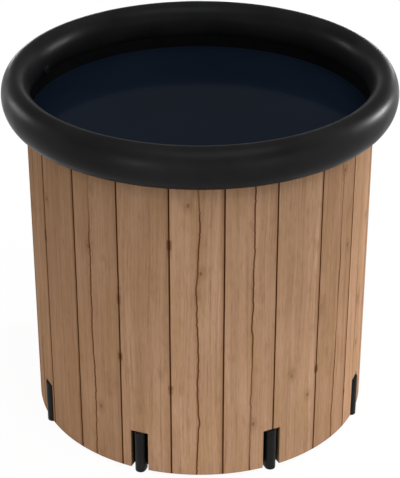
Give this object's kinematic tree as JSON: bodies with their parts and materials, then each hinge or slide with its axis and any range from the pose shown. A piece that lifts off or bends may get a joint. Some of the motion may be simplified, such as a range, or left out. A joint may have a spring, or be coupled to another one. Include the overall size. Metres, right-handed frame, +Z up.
{
  "type": "cold plunge tub",
  "caption": "Round soft-walled cold plunge tub: wood-print outer wall on removable rods, inflated black top ring, black liner, capped drain and inflation valve.",
  "frame": {"origin": "centre of the tub on the floor it stands on, under the middle of its bounding box", "axes": "+Z up, -Y the front that the picture is taken from, +Y the back with the drain, +X the right of the picture"},
  "size_m": [0.794, 0.794, 0.75],
  "materials": {
    "printed_sheet": "satin",
    "ring_sheet": "satin",
    "liner_sheet": "satin",
    "black_plastic": "satin",
    "black_rubber": "matte",
    "foam": "matte",
    "grey_sheet": "matte"
  },
  "bodies": {
    "tub_body": {"outer_wall_cover": "printed_sheet", "inner_liner": "liner_sheet", "ring_skirt": "ring_sheet", "base_sheet": "grey_sheet", "floor_foam": "foam", "top_ring": "ring_sheet", "valve_base": "black_plastic", "drain_body": "black_plastic", "drain_gasket": "black_rubber", "drain_nut": "black_plastic", "foam_panel_1": "foam", "rod_pocket_1": "grey_sheet", "foam_panel_2": "foam", "rod_pocket_2": "grey_sheet", "foam_panel_3": "foam", "rod_pocket_3": "grey_sheet", "foam_panel_4": "foam", "rod_pocket_4": "grey_sheet", "foam_panel_5": "foam", "rod_pocket_5": "grey_sheet", "foam_panel_6": "foam", "rod_pocket_6": "grey_sheet", "foam_panel_7": "foam", "rod_pocket_7": "grey_sheet", "foam_panel_8": "foam", "rod_pocket_8": "grey_sheet"},
    "rod_1": {"support_rod_1": "black_plastic", "rod_foot_1": "black_plastic", "rod_top_cap_1": "black_plastic"},
    "rod_2": {"support_rod_2": "black_plastic", "rod_foot_2": "black_plastic", "rod_top_cap_2": "black_plastic"},
    "rod_3": {"support_rod_3": "black_plastic", "rod_foot_3": "black_plastic", "rod_top_cap_3": "black_plastic"},
    "rod_4": {"support_rod_4": "black_plastic", "rod_foot_4": "black_plastic", "rod_top_cap_4": "black_plastic"},
    "rod_5": {"support_rod_5": "black_plastic", "rod_foot_5": "black_plastic", "rod_top_cap_5": "black_plastic"},
    "rod_6": {"support_rod_6": "black_plastic", "rod_foot_6": "black_plastic", "rod_top_cap_6": "black_plastic"},
    "rod_7": {"support_rod_7": "black_plastic", "rod_foot_7": "black_plastic", "rod_top_cap_7": "black_plastic"},
    "rod_8": {"support_rod_8": "black_plastic", "rod_foot_8": "black_plastic", "rod_top_cap_8": "black_plastic"},
    "valve_stem": {"valve_stem": "black_plastic"},
    "valve_plug": {"valve_plug": "black_rubber"},
    "drain_cap_seal": {"drain_cap_seal": "black_rubber"},
    "drain_cap": {"drain_cap": "black_plastic"},
    "drain_stopper": {"drain_stopper": "black_rubber"}
  },
  "joints": [
    {"name": "rod_1_pull", "type": "slide", "parent": "tub_body", "child": "rod_1", "axis": [0, 0, -1], "range_m": [0, 0.63]},
    {"name": "rod_2_pull", "type": "slide", "parent": "tub_body", "child": "rod_2", "axis": [0, 0, -1], "range_m": [0, 0.63]},
    {"name": "rod_3_pull", "type": "slide", "parent": "tub_body", "child": "rod_3", "axis": [0, 0, -1], "range_m": [0, 0.63]},
    {"name": "rod_4_pull", "type": "slide", "parent": "tub_body", "child": "rod_4", "axis": [0, 0, -1], "range_m": [0, 0.63]},
    {"name": "rod_5_pull", "type": "slide", "parent": "tub_body", "child": "rod_5", "axis": [0, 0, -1], "range_m": [0, 0.63]},
    {"name": "rod_6_pull", "type": "slide", "parent": "tub_body", "child": "rod_6", "axis": [0, 0, -1], "range_m": [0, 0.63]},
    {"name": "rod_7_pull", "type": "slide", "parent": "tub_body", "child": "rod_7", "axis": [0, 0, -1], "range_m": [0, 0.63]},
    {"name": "rod_8_pull", "type": "slide", "parent": "tub_body", "child": "rod_8", "axis": [0, 0, -1], "range_m": [0, 0.63]},
    {"name": "valve_stem_pull", "type": "slide", "parent": "tub_body", "child": "valve_stem", "axis": [0.8975, -0.3718, -0.2371], "range_m": [0, 0.012]},
    {"name": "valve_plug_open", "type": "hinge", "parent": "valve_stem", "child": "valve_plug", "pos_m": [-0.31569, 0.1194, 0.6919], "axis": [-0.2191, 0.0907, -0.9715], "range_deg": [0, 150]},
    {"name": "drain_cap_lift", "type": "slide", "parent": "tub_body", "child": "drain_cap_seal", "axis": [0, 1, 0], "range_m": [0, 0.018]},
    {"name": "drain_cap_turn", "type": "hinge", "parent": "drain_cap_seal", "child": "drain_cap", "pos_m": [0, 0.38, 0.0588], "axis": [0, 1, 0], "range_deg": [0, 1080]},
    {"name": "drain_stopper_pull", "type": "slide", "parent": "tub_body", "child": "drain_stopper", "axis": [0, -1, 0], "range_m": [0, 0.045]}
  ],
  "couplings": [
    {"joint": "drain_cap_lift", "follows": "drain_cap_turn", "m_per_rad": 0.00095483}
  ]
}
